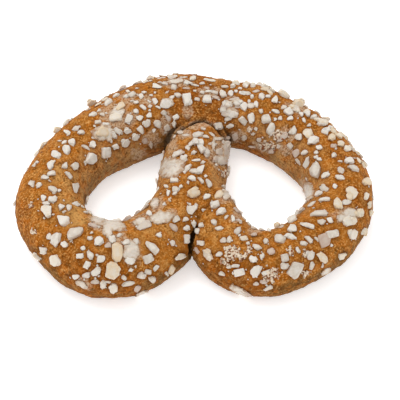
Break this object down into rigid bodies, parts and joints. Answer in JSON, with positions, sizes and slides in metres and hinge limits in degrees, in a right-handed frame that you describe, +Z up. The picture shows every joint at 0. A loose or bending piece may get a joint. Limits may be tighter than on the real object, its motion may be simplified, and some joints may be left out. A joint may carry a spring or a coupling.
{
  "type": "soft pretzel",
  "caption": "Soft sweet pretzel: a plump rope of dough laid in a pretzel shape with open loops, its ends tucked under, with a golden crust and coarse sugar nibs on top.",
  "frame": {"origin": "middle of the underside, at the height of the surface it rests on", "axes": "+X along the width, to the right when the two front loops point at the viewer; +Y towards the broad arc at the back; +Z up"},
  "size_m": [0.12, 0.0924, 0.0207],
  "materials": {
    "crust": "matte baked crust, golden brown on top and paler olive brown low on its sides",
    "sugar": "opaque white to cream sugar nibs",
    "melted_sugar": "greyish translucent sugar that melted into the crust"
  },
  "bodies": {
    "root": {"pretzel": "crust"}
  },
  "joints": []
}
